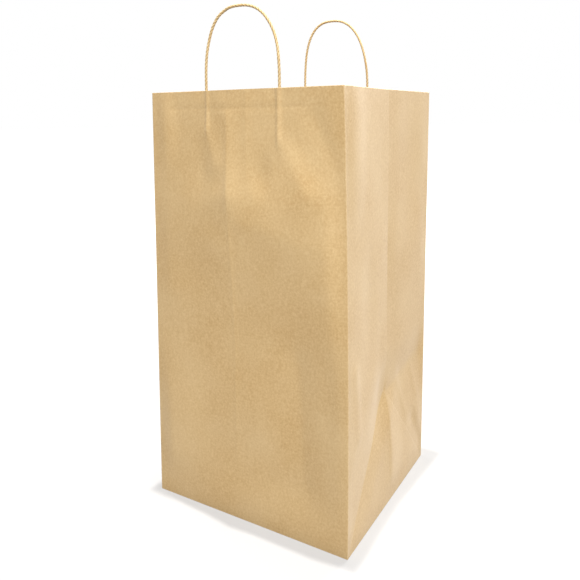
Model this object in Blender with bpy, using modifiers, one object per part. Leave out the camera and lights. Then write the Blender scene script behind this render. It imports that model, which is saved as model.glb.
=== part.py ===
"""Paper carrier bag with a block bottom, side gussets and twisted paper cord handles.

Metres, +Z up. The bag stands open on its folded bottom at z = 0, with the middle of the bottom at
the origin. The front panel faces -Y and the gussets face -X and +X.
"""

import math

import bmesh
import bpy
from mathutils import Matrix, Vector

# The sheet
WIDTH = 0.280  # front and rear panel, from corner crease to corner crease
DEPTH = 0.255  # gusset, from corner crease to corner crease
HEIGHT = 0.525  # bottom fold to rim
PAPER = 0.00016  # one ply of 120 g/m2 kraft paper
CLEARANCE = 0.0003  # between two pieces that touch
FOLD_RADIUS = 0.0004  # where a bottom flap turns under a wall

# The gusset's creases
GUSSET_APEX = 0.152  # where the two diagonal creases meet the centre crease, above the bottom
APEX_VALLEY = 0.006  # how deep the centre crease lies at that point
MIDDLE_VALLEY = 0.0065  # and at mid-height
MOUTH_VALLEY = -0.001  # and at the rim, where it bows outwards

# The bottom's flaps and the lap seam
FLAP_LAP = 0.008  # how far the front flap passes the middle of the bottom
FLAP_SHORT = 0.001  # how far the rear flap stops before it
FLAP_TIP = 0.004  # half the least width of a flap's free edge
SEAM_INSET = 0.018  # rear left corner to the outer ply's free edge
SEAM_LAP = 0.020  # glued overlap of the two plies
SEAM_STEP = 0.0003  # run of the step at a free edge

# How the opened bag stands out of true
MOUTH_LEAN = Vector((-0.003, 0.014, 0.0))  # the mouth's centre, from above the bottom's
MOUTH_INSET = 0.007  # how far each wall comes in by the mouth
CORNER_PULL = Vector((-0.007, -0.005, 0.0))  # the mouth's front right corner, on top of that
PANEL_BULGE = 0.0020  # swell of the front and rear panels at mid-height

# The cord handles and the patches that hold them
CORD = 0.0032  # diameter of the twisted cord
HANDLE_GAP = 0.099  # leg to leg
FRONT_RISE = 0.0877  # rim to the top of the front loop, at the cord's centre
REAR_RISE = 0.101  # the rear cord stands a little higher
FRONT_SHIFT = 0.003  # panel's middle to the middle of the front cord and its patches
REAR_SHIFT = -0.0045  # and of the rear ones
FRONT_SWAY = -0.003  # how far the top of the front loop leans along the panel
REAR_SWAY = -0.006  # and of the rear loop
HANDLE_STRAIGHT = 0.006  # rim to where the legs start to bend in
HANDLE_SQUARENESS = 2.5  # 2 is an ellipse, more is squarer
PATCH_WIDTH = 0.190
PATCH_HEIGHT = 0.050
PATCH_DROP = 0.020  # rim to the patch's upper edge
PATCH_MARGIN = 0.006  # patch's lower edge to the cord's end
COVER_RAMP = 0.0045  # run of the cover's slope past the cord's end
COVER_FLAT = 0.3 * CORD  # half the flat top of the cover over a leg
COVER_FOOT = COVER_FLAT + CORD  # and half its whole ridge
RIDGE_REACH = 0.008  # half-width of the ridge that a leg presses through the panel

# Grid of the modelled sheet, fine enough to hold its creases
ROW_PITCH = 0.035
COLUMN_PITCH = 0.032
ARCH_STEPS = 28
LEG_STEPS = 6
CORD_BEVEL_RESOLUTION = 2
SNAP = 0.0004  # a cut this close to a corner takes the corner
FACING = 0.9  # least cosine between a wall's normal and its direction

BOTTOM = 2 * PAPER  # underside of the gusset flaps, which lie on the other two
LEG_X = HANDLE_GAP / 2
MOUTH_SHARE = 1 - 2 * MOUTH_INSET / WIDTH  # the mouth's width as a share of the sheet's
PAST_PATCH = PATCH_WIDTH / 2 + PATCH_MARGIN / 2
# Places on the sheet, before the mouth comes in, of each cord's legs and of its patches' ends
FRONT_LEGS = [(FRONT_SHIFT + step) / MOUTH_SHARE for step in (-LEG_X, LEG_X)]
REAR_LEGS = [(REAR_SHIFT + step) / MOUTH_SHARE for step in (-LEG_X, LEG_X)]
FRONT_ENDS = [(FRONT_SHIFT + step) / MOUTH_SHARE for step in (-PAST_PATCH, PAST_PATCH)]
REAR_ENDS = [(REAR_SHIFT + step) / MOUTH_SHARE for step in (-PAST_PATCH, PAST_PATCH)]
PATCH_TOP = HEIGHT - PATCH_DROP
PATCH_FOOT = PATCH_TOP - PATCH_HEIGHT
CORD_END = PATCH_FOOT + PATCH_MARGIN
BACKING_IN = PAPER + CLEARANCE  # panel's outer face to the backing
COVER_IN = BACKING_IN + PAPER + CLEARANCE  # panel's outer face to the cover, and to the cord
CORD_IN = COVER_IN + CORD / 2
COVER_RISE = CORD + CLEARANCE
SEAM_EDGE = -WIDTH / 2 + SEAM_INSET
SEAM_END = SEAM_EDGE + SEAM_LAP

FRONT = Vector((0.0, -1.0, 0.0))
REAR = Vector((0.0, 1.0, 0.0))
LEFT = Vector((-1.0, 0.0, 0.0))
RIGHT = Vector((1.0, 0.0, 0.0))
UP = Vector((0.0, 0.0, 1.0))

# Ridges and valleys pressed into the front panel: start and end as (x, below the rim), rise,
# half-width above or left of the line, half-width below or right of it
FRONT_RELIEF = (
    ((FRONT_LEGS[0], 0.000), (FRONT_LEGS[0], 0.048), 0.0013, RIDGE_REACH, RIDGE_REACH),
    ((FRONT_LEGS[1], 0.000), (FRONT_LEGS[1], 0.064), 0.0013, RIDGE_REACH, RIDGE_REACH),
    ((FRONT_LEGS[0], 0.048), (-0.030, 0.093), 0.0010, 0.012, 0.010),
    ((FRONT_LEGS[1], 0.064), (0.105, 0.118), 0.0014, 0.014, 0.012),
    ((-0.015, 0.146), (0.052, 0.160), 0.0018, 0.070, 0.014),
    ((0.052, 0.160), (WIDTH / 2, 0.170), 0.0020, 0.070, 0.014),
    ((FRONT_ENDS[1] + 0.013, 0.034), (WIDTH / 2, 0.088), -0.0014, 0.012, 0.012),
)
# The same on the rear panel, where only the cord's legs press through
REAR_RELIEF = (
    ((REAR_LEGS[0], 0.000), (REAR_LEGS[0], 0.064), 0.0011, RIDGE_REACH, RIDGE_REACH),
    ((REAR_LEGS[1], 0.000), (REAR_LEGS[1], 0.064), 0.0011, RIDGE_REACH, RIDGE_REACH),
)
RELIEF_EDGE = 0.012  # relief fades out this close to a corner crease


def clear_scene():
    for obj in list(bpy.data.objects):
        bpy.data.objects.remove(obj, do_unlink=True)


def new_collection(name):
    collection = bpy.data.collections.new(name)
    bpy.context.scene.collection.children.link(collection)
    return collection


def new_material(name, colour, roughness):
    material = bpy.data.materials.new(name)
    material.use_nodes = True
    shader = material.node_tree.nodes["Principled BSDF"]
    shader.inputs["Base Color"].default_value = (*colour, 1.0)
    shader.inputs["Roughness"].default_value = roughness
    shader.inputs["Metallic"].default_value = 0.0
    material.diffuse_color = (*colour, 1.0)
    return material


def add_object(name, data, collection, material=None):
    obj = bpy.data.objects.new(name, data)
    collection.objects.link(obj)
    if material:
        data.materials.append(material)
    return obj


def mesh_from(name, bm):
    mesh = bpy.data.meshes.new(name)
    bm.to_mesh(mesh)
    bm.free()
    return mesh


def spread(low, high, pitch):
    """Evenly spaced places strictly between low and high, no further apart than pitch."""
    count = max(1, math.ceil((high - low) / pitch))
    return [low + (high - low) * i / count for i in range(1, count)]


def stood(x, y, z):
    """Where a point of the true box lies once the opened bag stands."""
    across = x / (WIDTH / 2)
    back = y / (DEPTH / 2)
    height = z / HEIGHT
    place = Vector((x, y, z)) + MOUTH_LEAN * height
    place.x -= MOUTH_INSET * across * height
    place.y -= MOUTH_INSET * back * height
    front_right = (1 + across) / 2 * (1 - back) / 2 * min(height, 1.0) ** 2
    return place + CORNER_PULL * front_right


def between(value, low, high, start, end):
    """Eases from start to end as value goes from low to high."""
    share = min(max((value - low) / (high - low), 0.0), 1.0)
    return start + (end - start) * share * share * (3 - 2 * share)


def centre_valley(z):
    """Depth of the gusset's centre crease above its apex."""
    if z < HEIGHT / 2:
        return between(z, GUSSET_APEX, HEIGHT / 2, APEX_VALLEY, MIDDLE_VALLEY)
    return between(z, HEIGHT / 2, HEIGHT, MIDDLE_VALLEY, MOUTH_VALLEY)


def gusset_valley(y, z):
    """How far the gusset lies inside the plane of its corner creases."""
    from_corner = 1 - abs(y) / (DEPTH / 2)
    if z < GUSSET_APEX:
        return APEX_VALLEY * min(from_corner, z / GUSSET_APEX)
    return centre_valley(z) * from_corner


def tent(x, z, crease):
    """Height of one ridge at a point: full on its line, falling to nothing on each side."""
    (x1, below1), (x2, below2), rise, above, below = crease
    start = Vector((x1, HEIGHT - below1))
    line = Vector((x2, HEIGHT - below2)) - start
    offset = Vector((x, z)) - start
    along = min(max(offset.dot(line) / line.length_squared, 0.0), 1.0)
    gap = offset - line * along
    side = line.x * gap.y - line.y * gap.x
    reach = above if side > 0 else below
    return rise * max(0.0, 1 - gap.length / reach)


def relief(x, z, creases):
    """The panel's swell and its strongest ridge or valley, fading at its corner creases."""
    heights = [tent(x, z, crease) for crease in creases]
    ridge = max(heights) + min(heights)
    fade = min(1.0, (WIDTH / 2 - abs(x)) / RELIEF_EDGE)
    swell = PANEL_BULGE * (1 - (2 * x / WIDTH) ** 2) * math.sin(math.pi * min(z / HEIGHT, 1.0))
    return swell + ridge * fade


def seam_lift(x):
    """How far the outer ply of the lap seam lifts the rear panel, run out at the far corner."""
    if x < SEAM_EDGE:
        return 0.0
    return PAPER * min(1.0, (WIDTH / 2 - x) / (WIDTH / 2 - SEAM_END))


def wall_point(side, x, z, inward):
    """A point beside the front (-1) or rear (1) panel's middle line, inside its flat outer face."""
    place = stood(x / MOUTH_SHARE, side * DEPTH / 2, z)
    place.x = stood(0.0, side * DEPTH / 2, z).x + x
    place.y -= side * inward
    return place


def wall_faces(bm, facing):
    return [face for face in bm.faces if face.normal.dot(facing) > FACING]


def cut_faces(bm, faces, place, across, snap=SNAP):
    """Cuts these faces, and no others, where a plane crosses them."""
    edges = dict.fromkeys(edge for face in faces for edge in face.edges)
    verts = dict.fromkeys(vert for face in faces for vert in face.verts)
    bmesh.ops.bisect_plane(
        bm, geom=[*faces, *edges, *verts], dist=snap, plane_co=place, plane_no=across
    )
    bm.normal_update()


def score_crease(bm, facing, crease):
    """Cuts a panel along one ridge's line, and no further than its two ends."""
    (x1, below1), (x2, below2) = crease[:2]
    start = Vector((x1, facing.y * DEPTH / 2, HEIGHT - below1))
    line = Vector((x2, facing.y * DEPTH / 2, HEIGHT - below2)) - start
    faces = []
    for face in wall_faces(bm, facing):
        along = (face.calc_center_median() - start).dot(line) / line.length_squared
        if 0 < along < 1:
            faces.append(face)
    cut_faces(bm, faces, start, line.cross(facing).normalized())


def open_box():
    """The sheet as a true box with no top, its corner creases sharp."""
    bm = bmesh.new()
    bmesh.ops.create_cube(bm, size=1.0)
    bmesh.ops.scale(bm, vec=(WIDTH, DEPTH, HEIGHT - BOTTOM), verts=bm.verts)
    bmesh.ops.translate(bm, vec=(0, 0, (HEIGHT + BOTTOM) / 2), verts=bm.verts)
    top = [face for face in bm.faces if face.normal.z > 0.9]
    bmesh.ops.delete(bm, geom=top, context="FACES_ONLY")
    return bm


def score_walls(bm):
    """Rows all round, columns on each wall, and the ridges' lines."""
    rows = [PATCH_TOP, PATCH_FOOT, GUSSET_APEX]
    rows += spread(0.0, GUSSET_APEX, ROW_PITCH) + spread(GUSSET_APEX, PATCH_FOOT, ROW_PITCH)
    across_gusset = [0.0]
    across_gusset += spread(-DEPTH / 2, 0.0, COLUMN_PITCH) + spread(0.0, DEPTH / 2, COLUMN_PITCH)
    for facing in (FRONT, REAR, LEFT, RIGHT):
        for z in rows:
            cut_faces(bm, wall_faces(bm, facing), (0, 0, z), UP)
    for facing, legs, ends in ((FRONT, FRONT_LEGS, FRONT_ENDS), (REAR, REAR_LEGS, REAR_ENDS)):
        columns = [leg + step for leg in legs for step in (-RIDGE_REACH, 0.0, RIDGE_REACH)]
        for x in columns + ends + spread(-WIDTH / 2, WIDTH / 2, COLUMN_PITCH):
            cut_faces(bm, wall_faces(bm, facing), (x, 0, 0), RIGHT)
    for x in (SEAM_EDGE - SEAM_STEP, SEAM_EDGE, SEAM_END, SEAM_END + SEAM_STEP):
        cut_faces(bm, wall_faces(bm, REAR), (x, 0, 0), RIGHT, SEAM_STEP / 10)
    for facing in (LEFT, RIGHT):
        for y in across_gusset:
            cut_faces(bm, wall_faces(bm, facing), (0, y, 0), REAR)
    for crease in FRONT_RELIEF:
        score_crease(bm, FRONT, crease)


def score_diagonals(bm):
    """The two slanting folds of each gusset, from its bottom corners up to its centre crease."""
    for facing in (LEFT, RIGHT):
        for sign in (-1, 1):
            corner = Vector((0, sign * DEPTH / 2, BOTTOM))
            line = Vector((0, 0, GUSSET_APEX)) - corner
            faces = []
            for face in wall_faces(bm, facing):
                middle = face.calc_center_median()
                if middle.y * sign > 0 and middle.z < GUSSET_APEX:
                    faces.append(face)
            cut_faces(bm, faces, corner, line.cross(RIGHT).normalized())


def crease_walls(bm):
    """Moves every point of the flat box to its place on the standing bag."""
    near = PAPER / 10
    for vert in bm.verts:
        x, y, z = vert.co
        place = stood(x, y, z)
        if abs(x) > WIDTH / 2 - near:
            place -= (RIGHT if x > 0 else LEFT) * gusset_valley(y, z)
        elif y < -DEPTH / 2 + near:
            place.y -= relief(x, z, FRONT_RELIEF)
        elif y > DEPTH / 2 - near and z > BOTTOM + near:
            place.y += relief(x, z, REAR_RELIEF) + seam_lift(x)
        vert.co = place


def lap_vertices(bm):
    """Numbers of the points where the seam has two plies."""
    found = []
    for vert in bm.verts:
        x, y, z = vert.co
        on_rear = y > DEPTH / 2 - SEAM_STEP and z > BOTTOM + SEAM_STEP
        if on_rear and SEAM_EDGE - SEAM_STEP / 2 < x < SEAM_END + SEAM_STEP / 2:
            found.append(vert.index)
    return found


def bottom_flap(name, side, depth, underside, collection):
    """One trapezoid flap of the bottom, its ends at 45 degrees, folded in from a panel."""
    reach = min(depth, WIDTH / 2 - FLAP_TIP)
    outer = DEPTH / 2 - FOLD_RADIUS
    inner = DEPTH / 2 - reach
    top = BOTTOM + PAPER / 2
    bm = bmesh.new()
    bmesh.ops.create_cube(bm, size=1.0)
    for vert in bm.verts:
        at_fold = vert.co.y * side > 0
        half = WIDTH / 2 - FOLD_RADIUS if at_fold else WIDTH / 2 - reach
        vert.co.x = math.copysign(half, vert.co.x)
        vert.co.y = side * (outer if at_fold else inner)
        vert.co.z = top if vert.co.z > 0 else underside
    bmesh.ops.recalc_face_normals(bm, faces=bm.faces)
    flap = add_object(name, mesh_from(name, bm), collection)
    flap.hide_render = True
    flap.display_type = "WIRE"
    return flap


def join(obj, other):
    union = obj.modifiers.new(f"join {other.name}", "BOOLEAN")
    union.operation = "UNION"
    union.solver = "EXACT"
    union.object = other


def build_body(collection, helpers, material):
    bm = open_box()
    score_walls(bm)
    score_diagonals(bm)
    bm.verts.index_update()
    lapped = lap_vertices(bm)
    crease_walls(bm)
    bmesh.ops.triangulate(bm, faces=bm.faces)
    body = add_object("bag_body", mesh_from("bag_body", bm), collection, material)
    plies = body.vertex_groups.new(name="plies")
    plies.add(lapped, 1.0, "REPLACE")
    wall = body.modifiers.new("paper", "SOLIDIFY")
    wall.thickness = 2 * PAPER
    wall.offset = -1.0
    wall.use_even_offset = True
    wall.vertex_group = plies.name
    wall.thickness_vertex_group = 0.5
    join(body, bottom_flap("front_flap", -1, DEPTH / 2 + FLAP_LAP, 0.0, helpers))
    join(body, bottom_flap("rear_flap", 1, DEPTH / 2 - FLAP_SHORT, PAPER, helpers))
    return body


def handle_points(side, rise, shift, sway):
    """The cord's centre line, from one glued end up through the loop and down to the other."""
    arch = rise - HANDLE_STRAIGHT
    outline = []
    for step in range(LEG_STEPS):
        outline.append((LEG_X, CORD_END + (HEIGHT + HANDLE_STRAIGHT - CORD_END) * step / LEG_STEPS))
    for step in range(ARCH_STEPS + 1):
        angle = math.pi * step / ARCH_STEPS
        x = LEG_X * math.copysign(abs(math.cos(angle)) ** (2 / HANDLE_SQUARENESS), math.cos(angle))
        z = HEIGHT + HANDLE_STRAIGHT + arch * math.sin(angle) ** (2 / HANDLE_SQUARENESS)
        outline.append((x, z))
    outline += [(-x, z) for x, z in reversed(outline[:LEG_STEPS])]
    points = []
    for x, z in outline:
        above_rim = max(0.0, (z - HEIGHT) / rise)
        points.append(wall_point(side, x + shift + sway * above_rim**2, z, CORD_IN))
    return points


def build_handle(name, points, collection, material):
    curve = bpy.data.curves.new(name, "CURVE")
    curve.dimensions = "3D"
    curve.bevel_depth = CORD / 2
    curve.bevel_resolution = CORD_BEVEL_RESOLUTION
    curve.use_fill_caps = True
    spline = curve.splines.new("POLY")
    spline.points.add(len(points) - 1)
    for point, place in zip(spline.points, points):
        point.co = (*place, 1.0)
    return add_object(name, curve, collection, material)


def cover_rise(x, z):
    """How far the patch cover lifts off its backing to pass over a leg of the cord."""
    from_leg = abs(abs(x) - LEG_X)
    beside = (COVER_FOOT - from_leg) / (COVER_FOOT - COVER_FLAT)
    past_end = 1 - (CORD_END - CLEARANCE * 2 - z) / COVER_RAMP
    return COVER_RISE * max(0.0, min(1.0, beside, past_end))


def build_patch(name, side, shift, inward, lift, collection, material):
    """A paper strip across the inside of a panel, lifted over the cord's legs by lift(x, z)."""
    bm = bmesh.new()
    bmesh.ops.create_grid(bm, x_segments=1, y_segments=1, size=0.5)
    bmesh.ops.scale(bm, vec=(PATCH_WIDTH, PATCH_HEIGHT, 1.0), verts=bm.verts)
    upright = Matrix.Rotation(math.pi / 2, 4, "X")
    if side > 0:
        upright = Matrix.Rotation(math.pi, 4, "Z") @ upright
    bmesh.ops.transform(bm, matrix=upright, verts=bm.verts)
    bmesh.ops.translate(bm, vec=(0, 0, (PATCH_TOP + PATCH_FOOT) / 2), verts=bm.verts)
    bm.normal_update()
    for leg in (-LEG_X, LEG_X):
        for step in (-COVER_FOOT, -COVER_FLAT, COVER_FLAT, COVER_FOOT):
            cut_faces(bm, bm.faces, (leg + step, 0, 0), RIGHT)
    for z in (CORD_END - 2 * CLEARANCE, CORD_END - 2 * CLEARANCE - COVER_RAMP):
        cut_faces(bm, bm.faces, (0, 0, z), UP)
    for vert in bm.verts:
        x, z = vert.co.x, vert.co.z
        vert.co = wall_point(side, x + shift, z, inward + lift(x, z))
    bmesh.ops.triangulate(bm, faces=bm.faces)
    patch = add_object(name, mesh_from(name, bm), collection, material)
    ply = patch.modifiers.new("paper", "SOLIDIFY")
    ply.thickness = PAPER
    ply.offset = -1.0
    ply.use_even_offset = True
    return patch


def flat(x, z):
    return 0.0


def main():
    clear_scene()
    parts = new_collection("paper_carrier_bag")
    helpers = new_collection("joined_flaps")
    helpers.hide_render = True
    kraft = new_material("kraft paper", (0.62, 0.43, 0.22), 0.8)
    cord = new_material("twisted paper cord", (0.72, 0.50, 0.24), 0.75)
    backing = new_material("patch backing paper", (0.58, 0.40, 0.20), 0.8)
    cover = new_material("patch cover paper", (0.60, 0.42, 0.21), 0.8)
    build_body(parts, helpers, kraft)
    handles = (
        ("front", -1, FRONT_RISE, FRONT_SHIFT, FRONT_SWAY),
        ("rear", 1, REAR_RISE, REAR_SHIFT, REAR_SWAY),
    )
    for place, side, rise, shift, sway in handles:
        points = handle_points(side, rise, shift, sway)
        build_handle(f"{place}_handle", points, parts, cord)
        build_patch(f"{place}_patch_backing", side, shift, BACKING_IN, flat, parts, backing)
        build_patch(f"{place}_patch_cover", side, shift, COVER_IN, cover_rise, parts, cover)


main()
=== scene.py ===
# %% [markdown]
# # A paper carrier bag
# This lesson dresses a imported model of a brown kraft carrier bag. The real bag is one sheet of
# paper, folded to a tube with two side gussets and a block bottom, and two twisted paper cords
# whose legs are glued between paper patches inside the mouth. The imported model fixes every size
# and place. Here each piece gets the fine surface that the eye expects of paper.

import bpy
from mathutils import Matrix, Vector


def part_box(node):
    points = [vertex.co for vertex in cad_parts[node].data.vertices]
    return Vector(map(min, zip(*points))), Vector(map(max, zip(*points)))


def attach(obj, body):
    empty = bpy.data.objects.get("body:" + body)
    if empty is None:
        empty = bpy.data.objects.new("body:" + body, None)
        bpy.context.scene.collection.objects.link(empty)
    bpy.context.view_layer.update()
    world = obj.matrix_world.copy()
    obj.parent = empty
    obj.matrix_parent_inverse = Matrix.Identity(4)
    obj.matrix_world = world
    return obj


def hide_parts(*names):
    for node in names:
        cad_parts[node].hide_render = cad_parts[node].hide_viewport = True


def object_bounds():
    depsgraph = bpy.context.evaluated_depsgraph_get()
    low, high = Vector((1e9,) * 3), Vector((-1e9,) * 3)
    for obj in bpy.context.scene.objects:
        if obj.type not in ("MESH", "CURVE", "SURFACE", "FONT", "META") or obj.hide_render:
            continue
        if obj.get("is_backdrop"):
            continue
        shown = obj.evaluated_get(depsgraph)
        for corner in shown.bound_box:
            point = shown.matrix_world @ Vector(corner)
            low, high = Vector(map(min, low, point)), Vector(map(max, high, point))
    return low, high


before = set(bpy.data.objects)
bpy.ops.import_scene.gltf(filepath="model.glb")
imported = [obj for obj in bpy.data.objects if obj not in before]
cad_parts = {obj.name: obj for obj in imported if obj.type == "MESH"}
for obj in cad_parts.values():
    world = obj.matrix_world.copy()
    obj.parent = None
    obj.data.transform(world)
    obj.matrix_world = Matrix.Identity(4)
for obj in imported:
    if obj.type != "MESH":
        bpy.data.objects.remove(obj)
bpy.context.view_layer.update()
print("nodes:", ", ".join(sorted(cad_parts)))

# %% Tools
import math

import bmesh
import bpy
from mathutils import Matrix, Vector, noise

MM = 0.001
TINY = 1e-12  # keeps a divisor off zero


def new_object(name, data):
    """An object of this data, linked to the scene."""
    made = bpy.data.objects.new(name, data)
    bpy.context.scene.collection.objects.link(made)
    return made


print(f"lengths are in metres, and a millimetre is {MM}")

# %% [markdown]
# ## Sizes
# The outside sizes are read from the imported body. The bottom is exactly centred on the origin,
# so the lowest Y of the body is half the bottom's depth. The other values are the sheet's own:
# how deep its folds lie, and how far the opened mouth stands away from the true box.

# %% Sizes of the sheet
body_low, body_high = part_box("bag_body")
WIDTH = body_high[0] - body_low[0]
DEPTH = -2 * body_low[1]
HEIGHT = body_high[2]
PAPER = 0.16 * MM  # thickness of one ply
CLEARANCE = 0.3 * MM  # left for the glue between two pieces
BOTTOM = 2 * PAPER  # the front and rear flaps lie under the floor
FLAP_LAP = 8 * MM  # how far the front bottom flap passes the middle
FLAP_SHORT = 1 * MM  # how far the rear one stops short of it
FLAP_INSET = 0.4 * MM  # flaps lie just inside the bottom's outline
FLAP_TIP = 4 * MM  # least half length of a flap's free edge
GUSSET_APEX = 152 * MM  # where the slanting folds meet the centre crease
APEX_VALLEY = 6 * MM  # how far the centre crease lies inside at three heights
MIDDLE_VALLEY = 6.5 * MM
MOUTH_VALLEY = 5 * MM
MOUTH_LEAN = Vector((-3 * MM, 14 * MM, 0))  # how far the mouth stands off the bottom's middle
MOUTH_INSET = 7 * MM  # how far the mouth comes in on each side
CORNER_PULL = Vector((-7 * MM, -5 * MM, 0))  # at the mouth's front right corner
PANEL_BULGE = 2 * MM  # swell of a panel's middle
SEAM_EDGE = -WIDTH / 2 + 18 * MM  # the cut edge of the lap's outer ply, on the rear panel
SEAM_END = SEAM_EDGE + 20 * MM  # where the ply under it ends
SEAM_LIFT = 0.3 * MM  # how far the outer ply stands off
SEAM_STEP = 0.3 * MM  # how far the ply beside the lap takes to come down
print(f"sheet {WIDTH:.3f} x {DEPTH:.3f} x {HEIGHT:.3f} m")

# %% Sizes of the cords and patches
CORD = 3.2 * MM
HANDLE_GAP = 99 * MM
HANDLE_STRAIGHT = 6 * MM
HANDLE_SQUARENESS = 2.5
RISE = {-1: 87.7 * MM, 1: 101 * MM}  # front (-1) and rear (1), rim to the top of the loop
SHIFT = {-1: 3 * MM, 1: -4.5 * MM}  # panel's middle to the cord's
SWAY = {-1: -3 * MM, 1: -6 * MM}  # how far the loop's top leans along the panel
PATCH_WIDTH = 190 * MM
PATCH_HEIGHT = 50 * MM
PATCH_DROP = 20 * MM  # from the rim to the patch
PATCH_MARGIN = 6 * MM  # from the cord's cut end to the patch's foot
PATCH_TOP = HEIGHT - PATCH_DROP
PATCH_FOOT = PATCH_TOP - PATCH_HEIGHT
CORD_END = PATCH_FOOT + PATCH_MARGIN
MOUTH_SHARE = 1 - 2 * MOUTH_INSET / WIDTH  # the mouth's width as a share of the sheet's
LEG_X = HANDLE_GAP / 2
LEGS = {side: [(SHIFT[side] + step) / MOUTH_SHARE for step in (-LEG_X, LEG_X)] for side in (-1, 1)}
# How far inside the panel's outer face each layer lies
BACKING_IN = PAPER + CLEARANCE
COVER_IN = BACKING_IN + PAPER + CLEARANCE
CORD_IN = COVER_IN + CORD / 2
COVER_RISE = CORD + CLEARANCE
print(f"cord {CORD:.4f} m thick, legs {HANDLE_GAP:.3f} m apart")

# %% [markdown]
# ## Camera
# The lens stood about 0.8 m from the middle of the bag, nearly as high as its rim, and looked
# down by 12 degrees. The frame was shifted slightly, so that the bag sits where the photograph
# has it. These values were fitted to the six corners that show.

# %% Camera
CAMERA_PLACE = (394.0 * MM, -676.7 * MM, 493.1 * MM)
CAMERA_TURN = math.radians(30.69)
CAMERA_DIP = math.radians(12.39)
CAMERA_ROLL = math.radians(-0.63)
CAMERA_LENS = 37.74
CAMERA_SHIFT = -0.0655
camera_data = bpy.data.cameras.new("camera")
camera = new_object("camera", camera_data)
camera.matrix_world = (
    Matrix.Translation(CAMERA_PLACE)
    @ Matrix.Rotation(CAMERA_TURN, 4, "Z")
    @ Matrix.Rotation(math.pi / 2 - CAMERA_DIP, 4, "X")
    @ Matrix.Rotation(CAMERA_ROLL, 4, "Z")
)
camera_data.sensor_width = 36
camera_data.lens = CAMERA_LENS
camera_data.shift_y = CAMERA_SHIFT
camera_data.clip_start = 0.01
bpy.context.scene.camera = camera
print(f"camera lens {camera_data.lens:.1f} mm, {Vector(CAMERA_PLACE).length:.2f} m from the base")

# %% [markdown]
# ## How the sheet stands
# A bag that has been folded flat never opens to a true box. Each point is first placed on the
# true box, and then moved: the mouth leans back and comes in, one corner is pulled, and the
# gussets keep a shallow valley along their centre crease.

# %% Stand a point of the true box
def stood(x, y, z):
    """Where a point of the true box lies once the opened bag stands."""
    across = x / (WIDTH / 2)
    back = y / (DEPTH / 2)
    height = z / HEIGHT
    place = Vector((x, y, z)) + MOUTH_LEAN * height
    place.x -= MOUTH_INSET * across * height
    place.y -= MOUTH_INSET * back * height
    front_right = (1 + across) / 2 * (1 - back) / 2 * min(height, 1.0) ** 2
    return place + CORNER_PULL * front_right


def ease(value, begin, stop, start, end):
    """Goes smoothly from start to end while value goes from begin to stop."""
    share = min(max((value - begin) / (stop - begin), 0.0), 1.0)
    return start + (end - start) * share * share * (3 - 2 * share)


def centre_valley(z):
    """How far a gusset's centre crease lies inside, above the apex of its slanting folds."""
    if z < HEIGHT / 2:
        return ease(z, GUSSET_APEX, HEIGHT / 2, APEX_VALLEY, MIDDLE_VALLEY)
    return ease(z, HEIGHT / 2, HEIGHT, MIDDLE_VALLEY, MOUTH_VALLEY)


def gusset_valley(y, z):
    """How far a gusset lies inside the plane of its corner folds."""
    from_corner = 1 - abs(y) / (DEPTH / 2)
    if z < GUSSET_APEX:
        return APEX_VALLEY * min(from_corner, z / GUSSET_APEX)
    return centre_valley(z) * from_corner


rim_corner = stood(WIDTH / 2, -DEPTH / 2, HEIGHT)
print("front right corner of the rim at", [round(part, 4) for part in rim_corner])

# %% [markdown]
# ## Folds, lines and dents
# Handling leaves marks. Where the sheet buckles it makes a broad fold with a sharp crest: two
# fan out from the cord legs, and a shallow step runs under the patch. Where something presses
# through from behind, such as a leg or the patch's edge, it makes a fine round line. A thumb
# leaves a soft dent. On a real bag they add up, and here they are summed too. They are real
# relief, not bump, so that the light on them changes with the view.

# %% Marks on the panels
# Each fold or line: start and end as (across, below the rim), rise at its start and end (a
# valley has a minus), and how far it reaches to the left and right of someone walking along it,
# seen with the rim on top and +X, or on a gusset +Y, to the right
FRONT_FOLDS = (
    ((LEGS[-1][0], 44 * MM), (-35 * MM, 82 * MM), 1.2 * MM, 1.5 * MM, 20 * MM, 24 * MM),
    ((LEGS[-1][1], 50 * MM), (94 * MM, 112 * MM), 1.8 * MM, 4.2 * MM, 42 * MM, 112 * MM),
    ((-15 * MM, 142 * MM), (140 * MM, 176 * MM), 6.2 * MM, 5.4 * MM, 120 * MM, 190 * MM),
    ((-18 * MM, 24 * MM), (-16 * MM, 118 * MM), 2.6 * MM, 3.8 * MM, 60 * MM, 44 * MM),
    ((101 * MM, 30 * MM), (138 * MM, 96 * MM), -1.8 * MM, -1.5 * MM, 26 * MM, 22 * MM),
    ((72 * MM, 300 * MM), (80 * MM, 450 * MM), -8.5 * MM, -7.0 * MM, 66 * MM, 210 * MM),
)
FRONT_LINES = (
    ((LEGS[-1][0], 0 * MM), (LEGS[-1][0], 48 * MM), 1.0 * MM, 1.0 * MM, 5.5 * MM, 3.5 * MM),
    ((LEGS[-1][1], 0 * MM), (LEGS[-1][1], 58 * MM), 1.1 * MM, 1.3 * MM, 6 * MM, 4 * MM),
    ((-15 * MM, 150 * MM), (-15 * MM, 500 * MM), 0.45 * MM, 0.2 * MM, 4 * MM, 3 * MM),
    ((-17 * MM, 34 * MM), (-15 * MM, 132 * MM), 0.6 * MM, 0.8 * MM, 20 * MM, 6 * MM),
    ((11 * MM, 0 * MM), (11 * MM, 92 * MM), 0.45 * MM, 0.3 * MM, 4 * MM, 5 * MM),
    ((-106 * MM, 20 * MM), (90 * MM, 20 * MM), -0.4 * MM, -0.35 * MM, 3 * MM, 3 * MM),
)
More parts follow.
